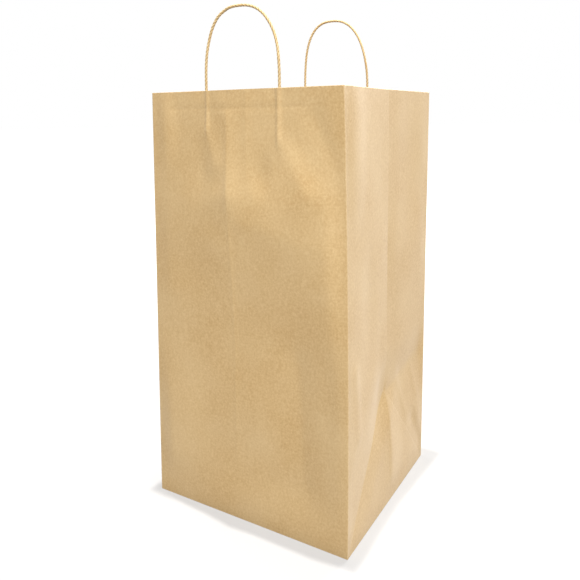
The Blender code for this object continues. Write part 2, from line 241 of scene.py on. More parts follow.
# Each dent: centre as (across, below the rim), reach across and down, depth
FRONT_DENTS = (
    ((LEGS[-1][0] - 9 * MM, 0 * MM), (9 * MM, 15 * MM), 0.8 * MM),
    ((-21 * MM, 0 * MM), (9 * MM, 14 * MM), 0.8 * MM),
    ((LEGS[-1][1] - 9 * MM, 0 * MM), (9 * MM, 14 * MM), 0.8 * MM),
    ((32 * MM, 92 * MM), (19 * MM, 34 * MM), 1.2 * MM),
    ((-118 * MM, 45 * MM), (26 * MM, 70 * MM), -2.4 * MM),
    ((-70 * MM, 215 * MM), (60 * MM, 60 * MM), 1.6 * MM),
    ((-132 * MM, 420 * MM), (90 * MM, 150 * MM), -4.0 * MM),
)
REAR_FOLDS = (
    ((LEGS[1][0], 60 * MM), (-92 * MM, 128 * MM), 1.2 * MM, 1.6 * MM, 50 * MM, 40 * MM),
    ((LEGS[1][1], 60 * MM), (78 * MM, 120 * MM), 1.2 * MM, 1.0 * MM, 34 * MM, 30 * MM),
    ((-128 * MM, 196 * MM), (20 * MM, 178 * MM), 3.0 * MM, 2.6 * MM, 120 * MM, 100 * MM),
)
REAR_LINES = (
    ((LEGS[1][0], 0 * MM), (LEGS[1][0], 64 * MM), 0.7 * MM, 0.9 * MM, 4.5 * MM, 4.5 * MM),
    ((LEGS[1][1], 0 * MM), (LEGS[1][1], 64 * MM), 0.7 * MM, 0.9 * MM, 4.5 * MM, 4.5 * MM),
)
REAR_DENTS = (
    ((-60 * MM, 390 * MM), (70 * MM, 100 * MM), 3.6 * MM),
    ((70 * MM, 300 * MM), (55 * MM, 80 * MM), 2.4 * MM),
)
print(len(FRONT_FOLDS), "folds,", len(FRONT_LINES), "lines,", len(FRONT_DENTS), "front dents")

# %% Marks on the gussets
# The same, where across is along Y. The longest fold on each gusset is one of its slanting
# folds. The bag was pressed flat along it, so the paper there lies in a deeper valley.
APEX_BELOW = HEIGHT - GUSSET_APEX
RIGHT_FOLDS = (
    ((-DEPTH / 2, 522 * MM), (0 * MM, APEX_BELOW), -0.6 * MM, -4.4 * MM, 60 * MM, 34 * MM),
    ((4 * MM, 372 * MM), (8 * MM, 490 * MM), 4.2 * MM, 2.0 * MM, 48 * MM, 26 * MM),
    ((6 * MM, APEX_BELOW + 2 * MM), (126 * MM, 352 * MM), -4.2 * MM, -3.2 * MM, 44 * MM, 90 * MM),
    ((88 * MM, 446 * MM), (124 * MM, 505 * MM), -1.8 * MM, -1.2 * MM, 16 * MM, 20 * MM),
)
RIGHT_LINES = (
    ((-104 * MM, 310 * MM), (-94 * MM, 390 * MM), 0.9 * MM, 0.7 * MM, 14 * MM, 16 * MM),
    ((40 * MM, 376 * MM), (66 * MM, 432 * MM), 0.5 * MM, 0.3 * MM, 9 * MM, 7 * MM),
    ((84 * MM, 366 * MM), (104 * MM, 420 * MM), 0.5 * MM, 0.3 * MM, 9 * MM, 7 * MM),
)
RIGHT_DENTS = (
    ((-98 * MM, 60 * MM), (34 * MM, 120 * MM), -1.4 * MM),
    ((64 * MM, 90 * MM), (50 * MM, 130 * MM), 1.6 * MM),
    ((-60 * MM, 250 * MM), (34 * MM, 90 * MM), 0.9 * MM),
)
LEFT_FOLDS = (
    ((DEPTH / 2, 522 * MM), (0 * MM, APEX_BELOW), -0.4 * MM, -2.8 * MM, 34 * MM, 60 * MM),
    ((-8 * MM, APEX_BELOW + 4 * MM), (-120 * MM, 360 * MM), -2 * MM, -1.4 * MM, 70 * MM, 40 * MM),
)
LEFT_LINES = (
    ((30 * MM, 240 * MM), (84 * MM, 330 * MM), 0.8 * MM, 0.5 * MM, 16 * MM, 20 * MM),
)
LEFT_DENTS = (
    ((70 * MM, 90 * MM), (46 * MM, 110 * MM), 1.6 * MM),
    ((-66 * MM, 180 * MM), (40 * MM, 120 * MM), -1.2 * MM),
)
print(len(RIGHT_FOLDS), "folds on the right gusset and", len(LEFT_FOLDS), "on the left")

# %% Height of the marks at a point
CREST_POWER = 1.4  # 1 would be a straight slope, more hollows it below the crest


def round_top(share):
    """1 at the middle, 0 at 1 and beyond, round at both ends."""
    return 0.5 + 0.5 * math.cos(math.pi * min(share, 1.0))


def sharp_top(share):
    """The same with a sharp crest and a nearly straight slope, as paper buckles."""
    return (1 - min(share, 1.0)) ** CREST_POWER


def height_of(x, z, mark, shape):
    """Height of one fold or line. Round its ends the reach turns smoothly from side to side."""
    (x1, below1), (x2, below2), start_rise, end_rise, on_left, on_right = mark
    start = Vector((x1, HEIGHT - below1))
    line = Vector((x2, HEIGHT - below2)) - start
    offset = Vector((x, z)) - start
    along = min(max(offset.dot(line) / line.length_squared, 0.0), 1.0)
    gap = offset - line * along
    turned = line.x * gap.y - line.y * gap.x
    share = 0.5 + 0.5 * turned / max(line.length * gap.length, TINY)
    reach = on_right + (on_left - on_right) * share
    return (start_rise + (end_rise - start_rise) * along) * shape(gap.length / reach)


def dent_depth(x, z, dent):
    """Depth of one round dent."""
    (middle_x, below), (across, down), depth = dent
    gap = Vector(((x - middle_x) / across, (z - HEIGHT + below) / down)).length
    return depth * round_top(gap)


def marks(x, z, folds, lines, dents):
    """Height of the folds and lines at a point, less its dents."""
    broad = sum(height_of(x, z, fold, sharp_top) for fold in folds)
    fine = sum(height_of(x, z, line, round_top) for line in lines)
    return broad + fine - sum(dent_depth(x, z, dent) for dent in dents)


leg_rise = marks(LEGS[-1][0], HEIGHT - 30 * MM, FRONT_FOLDS, FRONT_LINES, FRONT_DENTS)
print(f"over the front's left leg, 30 mm down, the marks rise {leg_rise / MM:.2f} mm")

# %% [markdown]
# ## Cockle
# Paper is never flat: it takes up damp unevenly, and ripples by a millimetre over a hand's
# width and by a few tenths over a thumb's. Two sizes of smooth noise give that, and both die
# away at the folds, which hold the sheet stiff.

# %% Cockle of the paper
COCKLE = ((130 * MM, 1.4 * MM), (38 * MM, 0.30 * MM))  # size and height of the ripples
STIFF_REACH = 22 * MM


def cockle(place, from_fold):
    """Height of the ripples at a place, given how far it lies from the nearest fold."""
    height = sum(rise * noise.noise(place / size) for size, rise in COCKLE)
    return height * min(1.0, from_fold / STIFF_REACH)


sample = cockle(Vector((0, -DEPTH, HEIGHT / 2)), STIFF_REACH)
print(f"ripple at the middle of the front panel {sample / MM:.2f} mm")

# %% [markdown]
# ## Walls
# The marks and ripples are added to each wall's own plane. They die away at the corner folds
# and at the foot, where the folded paper is stiff and the walls meet each other.

# %% Where the walls lie
PANEL_FADE = 26 * MM  # from a panel's corner fold to where its marks have their full height
PANEL_FOOT = 70 * MM  # the same from the bottom
GUSSET_FADE = 12 * MM
GUSSET_FOOT = 30 * MM


def panel_lift(side, x, z):
    """How far the front (-1) or rear (1) panel stands out from the plane of its corner folds."""
    from_fold = WIDTH / 2 - abs(x)
    swell = PANEL_BULGE * (1 - (2 * x / WIDTH) ** 2) * math.sin(math.pi * min(z / HEIGHT, 1.0))
    if side < 0:
        lift = marks(x, z, FRONT_FOLDS, FRONT_LINES, FRONT_DENTS)
    else:
        lift = marks(x, z, REAR_FOLDS, REAR_LINES, REAR_DENTS)
    fade = ease(from_fold, 0.0, PANEL_FADE, 0.0, 1.0) * ease(z, 0.0, PANEL_FOOT, 0.0, 1.0)
    return swell + (lift + cockle(Vector((x, side * DEPTH, z)), from_fold)) * fade


def gusset_lift(side, y, z):
    """The same for the left (-1) or right (1) gusset."""
    ripple = cockle(Vector((side * WIDTH, y, z)), min(DEPTH / 2 - abs(y), abs(y)))
    if side > 0:
        lift = marks(y, z, RIGHT_FOLDS, RIGHT_LINES, RIGHT_DENTS)
    else:
        lift = marks(y, z, LEFT_FOLDS, LEFT_LINES, LEFT_DENTS)
    fade = min(1.0, (DEPTH / 2 - abs(y)) / GUSSET_FADE) * min(1.0, z / GUSSET_FOOT)
    return (ripple + lift) * fade - gusset_valley(y, z)


def seam_lift(x):
    """How far the outer ply of the lap seam lifts the rear panel, run out by the far corner."""
    if x < SEAM_EDGE:
        return 0.0
    return SEAM_LIFT * min(1.0, (WIDTH / 2 - x) / (WIDTH / 2 - SEAM_END))


def wall_point(side, x, z, inward):
    """A point beside a panel's middle line, at a distance inside its outer face."""
    on_sheet = x / MOUTH_SHARE
    place = stood(on_sheet, side * DEPTH / 2, z)
    place.x = stood(0.0, side * DEPTH / 2, z).x + x
    place.y += side * (panel_lift(side, on_sheet, min(z, HEIGHT)) - inward)
    return place


middle_lift = panel_lift(-1, 0.0, HEIGHT / 2)
print(f"the middle of the front panel lies {middle_lift / MM:.1f} mm out of its plane")

# %% [markdown]
# ## Colours and nodes
# Colours are written as they look on a screen, in hex, and one function turns them to the
# linear values that Blender computes with. One small function adds a node, so that a material
# reads as a list of what it is made of.

# %% Colour and node helpers
def paint(code):
    """Linear colour of an sRGB hex code."""
    parts = [int(code[i : i + 2], 16) / 255 for i in (1, 3, 5)]
    linear = [c / 12.92 if c <= 0.04045 else ((c + 0.055) / 1.055) ** 2.4 for c in parts]
    return (*linear, 1.0)


def socket(sockets, key):
    """A socket by its number, or the first with this identifier or name."""
    if isinstance(key, int):
        return sockets[key]
    return next(s for s in sockets if key in (s.identifier, s.name))


def add(tree, kind, values=(), links=(), **settings):
    """Adds a node: settings are its properties, values its inputs, links what feeds them."""
    made = tree.nodes.new(kind)
    for name, value in settings.items():
        setattr(made, name, value)
    for key, value in dict(values).items():
        socket(made.inputs, key).default_value = value
    for key, source in dict(links).items():
        tree.links.new(source, socket(made.inputs, key))
    return made


def new_material(name):
    """A material with an empty node tree, and the tree."""
    material = bpy.data.materials.new(name)
    material.use_nodes = True
    material.node_tree.nodes.clear()
    return material, material.node_tree


print("middle grey #808080 is linear", round(paint("#808080")[0], 3))

# %% [markdown]
# ## Kraft paper
# Kraft paper is unbleached wood pulp. Its brown comes from the lignin left in, and its surface
# is a felt of fibres 1 to 3 mm long that lie mostly along the web, which is up and down on a
# bag. The eye reads three scales: clouds of a hand's width where the felt is thicker, a mottle
# of a couple of millimetres, and single fibres. Folds crack the outer fibres and look paler.
# The mottle and fibres are drawn about twice as coarse as they are, so that they show. The
# loose fibre ends give a faint sheen at a grazing view. The outer side was pressed against a
# polished drum as the paper was made, so it is smoother than the inner side.

# %% Pattern of the felt
CLOUD_SIZE = 70 * MM
MOTTLE_SIZE = 2.6 * MM
FIBRE_WIDTH = 0.9 * MM
FIBRE_STRETCH = 10.0  # how many times longer than wide
FIBRE_SHARE = 0.35  # how much of the felt's pattern is fibre


def felt_pattern(tree):
    """The felt's clouds, its mottle, and its mottle and fibres together."""
    place = add(tree, "ShaderNodeTexCoord").outputs["Object"]
    along_web = add(
        tree, "ShaderNodeMapping", {"Scale": (1.0, 1.0, 1 / FIBRE_STRETCH)}, {"Vector": place}
    ).outputs[0]
    cloud = add(
        tree,
        "ShaderNodeTexNoise",
        {"Scale": 1 / CLOUD_SIZE, "Detail": 2.0, "Roughness": 0.5},
        {"Vector": place},
    ).outputs["Fac"]
    mottle = add(
        tree,
        "ShaderNodeTexNoise",
        {"Scale": 1 / MOTTLE_SIZE, "Detail": 3.0, "Roughness": 0.65},
        {"Vector": place},
    ).outputs["Fac"]
    fibre = add(
        tree,
        "ShaderNodeTexNoise",
        {"Scale": 1 / FIBRE_WIDTH, "Detail": 2.0, "Roughness": 0.6, "Distortion": 0.4},
        {"Vector": along_web},
    ).outputs["Fac"]
    felt = add(
        tree,
        "ShaderNodeMath",
        {"Value_001": FIBRE_SHARE},
        {"Value": fibre, "Value_002": mottle},
        operation="MULTIPLY_ADD",
    ).outputs[0]
    return cloud, mottle, felt


print(f"mottle {MOTTLE_SIZE / MM:.1f} mm, fibres {FIBRE_WIDTH / MM:.1f} mm wide")

# %% Colour of the paper
WORN_FOLD = "#F2DDB4"


def sheet_colour(tree, base, dark, pale, cloud, felt):
    """Dark between the fibres and base on them, with pale clouds."""
    tone = add(
        tree,
        "ShaderNodeMapRange",
        {"From Min": 0.42, "From Max": 0.93, "To Min": 0.0, "To Max": 1.0},
        {"Value": felt},
    ).outputs[0]
    flat = add(
        tree,
        "ShaderNodeMix",
        {"A_Color": paint(dark), "B_Color": paint(base)},
        {"Factor_Float": tone},
        data_type="RGBA",
    ).outputs[2]
    cloudy = add(
        tree,
        "ShaderNodeMapRange",
        {"From Min": 0.35, "From Max": 0.75, "To Min": 0.0, "To Max": 0.35},
        {"Value": cloud},
    ).outputs[0]
    return add(
        tree,
        "ShaderNodeMix",
        {"B_Color": paint(pale)},
        {"Factor_Float": cloudy, "A_Color": flat},
        data_type="RGBA",
    ).outputs[2]


def worn_at_folds(tree, colour, mottle, fold_wear):
    """Paler within a millimetre of a fold, with an edge that the mottle makes ragged."""
    fold = add(tree, "ShaderNodeAttribute", attribute_name="from_fold_mm").outputs["Fac"]
    ragged = add(
        tree,
        "ShaderNodeMath",
        {"Value_001": -1.6},
        {"Value": mottle, "Value_002": fold},
        operation="MULTIPLY_ADD",
    ).outputs[0]
    worn = add(
        tree,
        "ShaderNodeMapRange",
        {"From Min": -0.8, "From Max": 0.2, "To Min": fold_wear, "To Max": 0.0},
        {"Value": ragged},
    ).outputs[0]
    return add(
        tree,
        "ShaderNodeMix",
        {"B_Color": paint(WORN_FOLD)},
        {"Factor_Float": worn, "A_Color": colour},
        data_type="RGBA",
    ).outputs[2]


print("a worn fold turns towards", WORN_FOLD)

# %% Kraft paper materials
FELT_RELIEF = 0.12 * MM
ROUGHNESS_SPREAD = 0.12


def kraft_paper(name, base, dark, pale, roughness, fold_wear):
    """Uncoated paper. fold_wear is how much paler a fold is than the open sheet."""
    material, tree = new_material(name)
    cloud, mottle, felt = felt_pattern(tree)
    sheet = sheet_colour(tree, base, dark, pale, cloud, felt)
    colour = worn_at_folds(tree, sheet, mottle, fold_wear)
    rough = add(
        tree,
        "ShaderNodeMapRange",
        {
            "From Min": 0.3,
            "From Max": 0.8,
            "To Min": roughness,
            "To Max": roughness + ROUGHNESS_SPREAD,
        },
        {"Value": mottle},
    ).outputs[0]
    grain = add(
        tree, "ShaderNodeBump", {"Strength": 0.28, "Distance": FELT_RELIEF}, {"Height": felt}
    ).outputs[0]
    shader = add(
        tree,
        "ShaderNodeBsdfPrincipled",
        {"IOR": 1.5, "Sheen Weight": 0.22, "Sheen Roughness": 0.5},
        {"Base Color": colour, "Roughness": rough, "Normal": grain},
    )
    add(tree, "ShaderNodeOutputMaterial", (), {"Surface": shader.outputs[0]})
    return material


kraft_outer = kraft_paper(
    "machine-glazed kraft paper, outer side", "#D7B985", "#BE9861", "#E0C596", 0.56, 0.16
)
kraft_inner = kraft_paper(
    "kraft paper, inner side", "#D9BA87", "#C6A36E", "#DEC293", 0.74, 0.15
)
kraft_edge = kraft_paper("kraft paper, cut edge", "#E6CDA0", "#D6B684", "#EBD6AF", 0.85, 0.0)
kraft_patch = kraft_paper(
    "kraft paper, handle patch", "#D8B884", "#C5A16B", "#DDC091", 0.72, 0.2
)
print("kraft papers made:", kraft_outer.name, "and three more")

# %% [markdown]
# ## The folded sheet
# The tube is a grid of points, ring above ring. Columns crowd at the folds, so that a fold is
# sharp but still catches a thin highlight. The same list of shares sets the gusset's columns
# and the rows below its apex, so the slanting folds run exactly through grid points. Each
# point also stores how far it lies from the nearest fold, in millimetres, for the material.

# %% Spacing of the grid
CELL = 5 * MM
ROW_PITCH = 1.15 * CELL
FOLD_LOOPS = (0.7 * MM, 1.8 * MM)  # extra columns beside a fold
LEG_LOOPS = (1.5 * MM, 3 * MM, 4.5 * MM, 6.5 * MM)  # and beside a cord's leg
EDGE_ROWS = (-3 * MM, -1.5 * MM, 0.0, 1.5 * MM, 3 * MM)  # extra rows at the patch's edge
BUCKLE_COLUMNS = [x * MM for x in (-19, -17, -15, -13, -11, 9, 11, 13)]  # on fine lines
RIM_ROW = 0.5 * MM  # keeps the rim's edge crisp
CLEAR = 2 * MM  # how far an even row or column keeps from an extra one
COLUMN_NEAREST = 0.2 * MM  # columns any nearer than this become one
GUSSET_NEAREST = 0.4 * MM


def even(low, high, pitch):
    """Evenly spaced places from low to high, both included."""
    count = max(1, round((high - low) / pitch))
    return [low + (high - low) * i / count for i in range(count + 1)]


def merged(places, nearest):
    """Sorted places, leaving out any that is too near the one before it."""
    kept = []
    for place in sorted(places):
        if not kept or place - kept[-1] > nearest:
            kept.append(place)
    return kept


print(f"cells of {CELL / MM:.2f} mm across and {ROW_PITCH / MM:.2f} mm up")

# %% Rows and columns of the grid
half_shares = [step / (DEPTH / 2) for step in (0.0, *FOLD_LOOPS)]
half_shares += even(CELL / (DEPTH / 2), 1.0, CELL / (DEPTH / 2))[:-1]
half_shares += [1 - step / (DEPTH / 2) for step in (2 * FOLD_LOOPS[1], FOLD_LOOPS[1], 0.0)]
half_shares = merged(half_shares, GUSSET_NEAREST / (DEPTH / 2))
gusset_columns = [-DEPTH / 2 * (1 - share) for share in half_shares]
gusset_columns += [-y for y in reversed(gusset_columns[:-1])]
rows = [BOTTOM] + [GUSSET_APEX * share for share in half_shares[1:]]
upper = [PATCH_TOP + step for step in EDGE_ROWS] + [HEIGHT - RIM_ROW, HEIGHT]
even_rows = even(GUSSET_APEX, HEIGHT, ROW_PITCH)[1:]
rows += sorted(upper + [z for z in even_rows if min(abs(z - u) for u in upper) > CLEAR])
corner_loops = [WIDTH / 2 - step for step in (0.0, *FOLD_LOOPS)]
corner_loops += [-place for place in corner_loops]
grid = even(-WIDTH / 2, WIDTH / 2, CELL)


def panel_columns(side, extra):
    """Special places first, then the even ones that keep clear of them."""
    wanted = corner_loops + extra
    for leg in LEGS[side]:
        wanted += [leg + sign * step for step in (0.0, *LEG_LOOPS) for sign in (-1, 1)]
    free = [x for x in grid if min(abs(x - other) for other in wanted) > CLEAR]
    return merged(wanted + free, COLUMN_NEAREST)


front_columns = panel_columns(-1, BUCKLE_COLUMNS)
rear_columns = panel_columns(
    1, [SEAM_EDGE - SEAM_STEP, SEAM_EDGE, SEAM_END, SEAM_END + SEAM_STEP]
)
print(len(rows), "rows,", len(front_columns), "front columns,", len(gusset_columns), "in a gusset")

# %% Distance of a point from the folds
FOLD_SEEN = 20.0  # millimetres, beyond which the distance no longer matters
CENTRE_WEAR = 1.6  # the centre crease is worn less, so its distance counts for more


def is_gusset(x):
    """True on a gusset and on its corner folds."""
    return abs(x) > WIDTH / 2 - PAPER / 10


def fold_distance(x, y, z):
    """Distance from the nearest fold, in millimetres, within one wall."""
    from_corner = DEPTH / 2 - abs(y)
    if not is_gusset(x):
        nearest = WIDTH / 2 - abs(x)
    elif z > GUSSET_APEX:
        nearest = min(from_corner, abs(y) * CENTRE_WEAR)
    else:
        slant = math.hypot(DEPTH / 2, GUSSET_APEX)
        nearest = min(from_corner, abs(from_corner * GUSSET_APEX - z * DEPTH / 2) / slant)
    return min(FOLD_SEEN, nearest / MM)


worn = fold_distance(WIDTH / 2, 9 * MM, HEIGHT / 2)
print(f"9 mm beside a gusset's centre crease counts as {worn:.1f} mm")

# %% Build the sheet's grid
ring = [(x, -DEPTH / 2) for x in front_columns]
ring += [(WIDTH / 2, y) for y in gusset_columns[1:]]
ring += [(x, DEPTH / 2) for x in reversed(rear_columns[:-1])]
ring += [(-WIDTH / 2, y) for y in reversed(gusset_columns[1:-1])]


def sheet_point(x, y, z):
    """A point of the standing sheet's outer face."""
    place = stood(x, y, z)
    if is_gusset(x):
        side = 1 if x > 0 else -1
        place.x += side * gusset_lift(side, y, z)
        return place
    side = 1 if y > 0 else -1
    place.y += side * panel_lift(side, x, z)
    if side > 0 and z > BOTTOM:
        place.y += seam_lift(x)
    return place


points = []
distances = []
two_ply = []
for z in rows:
    for x, y in ring:
        on_lap = y > 0 and SEAM_EDGE - PAPER < x < SEAM_END + PAPER
        points.append(sheet_point(x, y, z))
        distances.append(fold_distance(x, y, z))
        if on_lap and z > BOTTOM:
            two_ply.append(len(points) - 1)
faces = []
for j in range(len(rows) - 1):
    for i in range(len(ring)):
        k = (i + 1) % len(ring)
        a, b = j * len(ring) + i, j * len(ring) + k
        c, d = b + len(ring), a + len(ring)
        (x1, y1), (x2, y2) = ring[i], ring[k]
        below_apex = is_gusset(x1) and is_gusset(x2) and rows[j + 1] < GUSSET_APEX + PAPER
        if not below_apex:
            faces.append((a, b, c, d))
        elif (y1 + y2) * x1 < 0:  # cut along the slanting fold
            faces += [(a, b, c), (a, c, d)]
        else:
            faces += [(a, b, d), (b, c, d)]
print(len(points), "points,", len(faces), "faces in the tube")

# %% [markdown]
# The bottom is closed by the folded-in gusset flaps, with the rear and front flaps glued over
# them from below. Their free edges show as a cross of creases on the underside. Each flap is
# its own small face here, and the same Solidify modifier gives every ply its thickness.

# %% Bottom flaps
def flap_corners(side, depth, z):
    """Corners of the front (-1) or rear (1) bottom flap, which is cut off at 45 degrees."""
    reach = min(depth, WIDTH / 2 - FLAP_TIP)
    outer, inner = WIDTH / 2 - FLAP_INSET, WIDTH / 2 - reach
    fold, free = side * (DEPTH / 2 - FLAP_INSET), side * (DEPTH / 2 - reach)
    corners = [(-outer, fold, z), (-inner, free, z), (inner, free, z), (outer, fold, z)]
    return corners if side < 0 else corners[::-1]


floor_ring = tuple(reversed(range(len(ring))))
faces.append(floor_ring)
for corners in (
    flap_corners(-1, DEPTH / 2 + FLAP_LAP, 0.0),
    flap_corners(1, DEPTH / 2 - FLAP_SHORT, PAPER),
):
    faces.append(tuple(range(len(points), len(points) + 4)))
    points += corners
    distances += [FOLD_SEEN] * 4
print("with the floor and two flaps", len(points), "points and", len(faces), "faces")

# %% The sheet's object
sheet_mesh = bpy.data.meshes.new("folded_sheet")
sheet_mesh.from_pydata(points, [], faces)
sheet_mesh.attributes.new("from_fold_mm", "FLOAT", "POINT").data.foreach_set("value", distances)
sheet_mesh.polygons.foreach_set("use_smooth", [True] * len(faces))
ON_FOLD = 0.02  # millimetres


def crease_edge(one, other):
    """True for an edge on a gusset's centre or slanting fold, or on the bottom's outline."""
    if one >= len(rows) * len(ring):
        return True
    if one < len(ring) and other < len(ring):
        return True
    (x1, y1), (x2, y2) = ring[one % len(ring)], ring[other % len(ring)]
    inside = max(abs(y1), abs(y2)) < DEPTH / 2 - PAPER  # the corner folds stay smooth
    on_fold = max(distances[one], distances[other]) < ON_FOLD
    return is_gusset(x1) and is_gusset(x2) and inside and on_fold


sharp = [crease_edge(*sorted(edge.vertices)) for edge in sheet_mesh.edges]
sheet_mesh.attributes.new("sharp_edge", "BOOLEAN", "EDGE").data.foreach_set("value", sharp)
for material in (kraft_outer, kraft_inner, kraft_edge):
    sheet_mesh.materials.append(material)
folded_sheet = new_object("folded_sheet", sheet_mesh)
folded_sheet.vertex_groups.new(name="two_ply").add(two_ply, 1.0, "REPLACE")
ply = folded_sheet.modifiers.new("paper", "SOLIDIFY")
ply.thickness = 2 * PAPER  # in the group, and half of it elsewhere
ply.offset = -1.0  # inwards
ply.use_even_offset = True
ply.vertex_group = "two_ply"
ply.thickness_vertex_group = 0.5
ply.material_offset = 1
ply.material_offset_rim = 2
print("sharp fold edges:", sum(sharp))

# %% [markdown]
# ## Twisted paper cord
# The handles are strips of kraft paper twisted to a round cord of three strands. What the eye
# reads is the spiral: a groove between strands every 4.5 mm. Geometry Nodes suit it, because a
# spiral follows a path by rule: a lobed profile is swept along the handle's line and turned as
# it goes. The same tree would twist a cord of any length or number of strands.

# %% Paper cord material
CORD_FIBRE = 0.8 * MM
BLOTCH_SIZE = 9 * MM


def paper_cord():
    """Twisted kraft strip with a fibre grain: brown in the grooves as painted shade, and paler
    than the sheet on the crowns as a painted highlight.
    """
    material, tree = new_material("twisted kraft paper cord")
    place = add(tree, "ShaderNodeTexCoord").outputs["Object"]
    # crown of the strands, 0 in a groove and 1 on a crown, which places the painted shade and
    # highlight
    groove = add(tree, "ShaderNodeAttribute", attribute_name="crown").outputs["Fac"]
    fibre = add(
        tree,
        "ShaderNodeTexNoise",
        {"Scale": 1 / CORD_FIBRE, "Detail": 3.0, "Roughness": 0.6},
        {"Vector": place},
    ).outputs["Fac"]
    blotch = add(
        tree, "ShaderNodeTexNoise", {"Scale": 1 / BLOTCH_SIZE, "Detail": 2.0}, {"Vector": place}
    ).outputs["Fac"]
    height = add(
        tree,
        "ShaderNodeMath",
        {"Value_001": FIBRE_SHARE},
        {"Value": fibre, "Value_002": groove},
        operation="MULTIPLY_ADD",
    ).outputs[0]
    shade = add(
        tree,
        "ShaderNodeMapRange",
        {"From Min": 0.35, "From Max": 1.05, "To Min": 0.0, "To Max": 1.0},
        {"Value": height},
    ).outputs[0]
    # the strands' shading painted into the colour: #B08C58 is painted shade in the grooves,
    # #DDC391 a painted highlight on the crowns, with the fibre grain mixed in
    twisted = add(
        tree,
        "ShaderNodeMix",
        {"A_Color": paint("#B08C58"), "B_Color": paint("#DDC391")},
        {"Factor_Float": shade},
        data_type="RGBA",
    ).outputs[2]
    patchy = add(
        tree,
        "ShaderNodeMapRange",
        {"From Min": 0.45, "From Max": 0.7, "To Min": 0.0, "To Max": 0.5},
        {"Value": blotch},
    ).outputs[0]
    colour = add(
        tree,
        "ShaderNodeMix",
        {"B_Color": paint("#C5A46C")},
        {"Factor_Float": patchy, "A_Color": twisted},
        data_type="RGBA",
    ).outputs[2]
    grain = add(
        tree, "ShaderNodeBump", {"Strength": 0.5, "Distance": 0.1 * MM}, {"Height": fibre}
    ).outputs[0]
    shader = add(
        tree,
        "ShaderNodeBsdfPrincipled",
        {"IOR": 1.5, "Roughness": 0.7},
        {"Base Color": colour, "Normal": grain},
    )
    add(tree, "ShaderNodeOutputMaterial", (), {"Surface": shader.outputs[0]})
    return material


cord_paper = paper_cord()
print("cord material made:", cord_paper.name)

# %% Lobed profile of the cord
PROFILE_POINTS = 24
CROWN_POWER = 0.7  # under 1 makes the strands round and the grooves between them narrow


def lobed_profile(tree, given):
    """A circle pinched between the strands, which also stores its crown for the material's painted
    shade and highlight.
    """
    radius = add(
        tree,
        "ShaderNodeMath",
        {"Value_001": 0.5},
        {"Value": given["Thickness"]},
        operation="MULTIPLY",
    ).outputs[0]
    circle = add(
        tree,
        "GeometryNodeCurvePrimitiveCircle",
        {"Resolution": PROFILE_POINTS},
        {"Radius": radius},
        mode="RADIUS",
    ).outputs[0]
    around = add(tree, "GeometryNodeSplineParameter").outputs["Factor"]
    lobes = add(
        tree,
        "ShaderNodeMath",
        (),
        {"Value": around, "Value_001": given["Strands"]},
        operation="MULTIPLY",
    ).outputs[0]
    half_turns = add(
        tree, "ShaderNodeMath", {"Value_001": math.pi}, {"Value": lobes}, operation="MULTIPLY"
    ).outputs[0]
    wave = add(tree, "ShaderNodeMath", (), {"Value": half_turns}, operation="SINE").outputs[0]
    rise = add(tree, "ShaderNodeMath", (), {"Value": wave}, operation="ABSOLUTE").outputs[0]
    crown = add(
        tree, "ShaderNodeMath", {"Value_001": CROWN_POWER}, {"Value": rise}, operation="POWER"
    ).outputs[0]
    hollow = add(
        tree, "ShaderNodeMath", {"Value": 1.0}, {"Value_001": crown}, operation="SUBTRACT"
    ).outputs[0]
    cut = add(
        tree,
        "ShaderNodeMath",
        (),
        {"Value": hollow, "Value_001": given["Groove"]},
        operation="MULTIPLY",
    ).outputs[0]
    scale = add(
        tree, "ShaderNodeMath", {"Value": 1.0}, {"Value_001": cut}, operation="SUBTRACT"
    ).outputs[0]
    at = add(tree, "GeometryNodeInputPosition").outputs[0]
    pinched = add(
        tree, "ShaderNodeVectorMath", (), {"Vector": at, "Scale": scale}, operation="SCALE"
    ).outputs[0]
    marked = add(
        tree,
        "GeometryNodeStoreNamedAttribute",
        {"Name": "crown"},
        {"Geometry": circle, "Value": crown},
        data_type="FLOAT",
        domain="POINT",
    ).outputs[0]
    return add(
        tree, "GeometryNodeSetPosition", (), {"Geometry": marked, "Position": pinched}
    ).outputs[0]


print("points round the cord:", PROFILE_POINTS)

# %% Node tree that twists a cord along a path
def twisted_path(tree, given):
    """The path in even steps, tilted by one turn for each turn length."""
    fine = add(
        tree,
        "GeometryNodeResampleCurve",
        (),
        {"Curve": given["Path"], "Length": given["Step"]},
        mode="LENGTH",
    ).outputs[0]
    parameter = add(tree, "GeometryNodeSplineParameter").outputs
    turns = add(
        tree,
        "ShaderNodeMath",
        (),
        {"Value": parameter["Length"], "Value_001": given["Turn Length"]},
        operation="DIVIDE",
    ).outputs[0]
    angle = add(
        tree, "ShaderNodeMath", {"Value_001": 2 * math.pi}, {"Value": turns}, operation="MULTIPLY"
    ).outputs[0]
    return add(tree, "GeometryNodeSetCurveTilt", (), {"Curve": fine, "Tilt": angle}).outputs[0]


